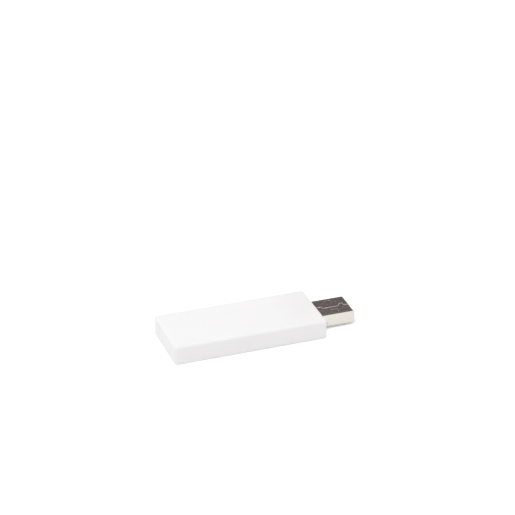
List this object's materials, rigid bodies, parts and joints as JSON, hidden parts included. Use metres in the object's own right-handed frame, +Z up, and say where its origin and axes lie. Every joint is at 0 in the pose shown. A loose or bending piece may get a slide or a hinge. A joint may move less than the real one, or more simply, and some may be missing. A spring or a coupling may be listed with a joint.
{
  "type": "usb radio adapter",
  "caption": "Flat white stick with softly rounded edges and a bare metal USB plug in one end, which joins a computer to wireless home devices.",
  "frame": {"origin": "middle of the whole stick, housing and plug together, on the flat base that it lies on", "axes": "+X along the stick towards the tip of the plug, +Y across it, +Z up out of the plain top with the plug's seam side up"},
  "size_m": [0.068, 0.0242, 0.007],
  "materials": {
    "white_plastic": "fine satin, as moulded",
    "plated_sheet": "smooth bright nickel plate",
    "black_moulding": "satin",
    "gilded_strip": "smooth gold plate",
    "board_laminate": "lacquered",
    "chip_moulding": "fine matte",
    "crystal_lid": "satin",
    "buffer_moulding": "matte",
    "ferrite": "matte",
    "ceramic_block": "matte",
    "resistor_block": "satin",
    "tinned_strip": "bright tin plate"
  },
  "bodies": {
    "root": {"antenna_strip": "tinned_strip", "buffer_capacitor": "buffer_moulding", "capacitor_1": "ceramic_block", "capacitor_10": "ceramic_block", "capacitor_2": "ceramic_block", "capacitor_3": "ceramic_block", "capacitor_4": "ceramic_block", "capacitor_5": "ceramic_block", "capacitor_6": "ceramic_block", "capacitor_7": "ceramic_block", "capacitor_8": "ceramic_block", "capacitor_9": "ceramic_block", "circuit_board": "board_laminate", "data_minus_contact": "gilded_strip", "data_plus_contact": "gilded_strip", "ferrite_bead": "ferrite", "ground_contact": "gilded_strip", "lower_housing": "white_plastic", "plug_insulator": "black_moulding", "plug_shell": "plated_sheet", "power_contact": "gilded_strip", "radio_chip": "chip_moulding", "radio_crystal": "crystal_lid", "resistor_1": "resistor_block", "resistor_2": "resistor_block", "resistor_3": "resistor_block", "resistor_4": "resistor_block", "resistor_5": "resistor_block", "surge_protector": "chip_moulding", "tuning_coil_1": "ferrite", "tuning_coil_2": "ferrite", "tuning_coil_3": "ferrite", "upper_housing": "white_plastic", "usb_bridge_chip": "chip_moulding", "voltage_regulator": "chip_moulding"}
  },
  "joints": []
}
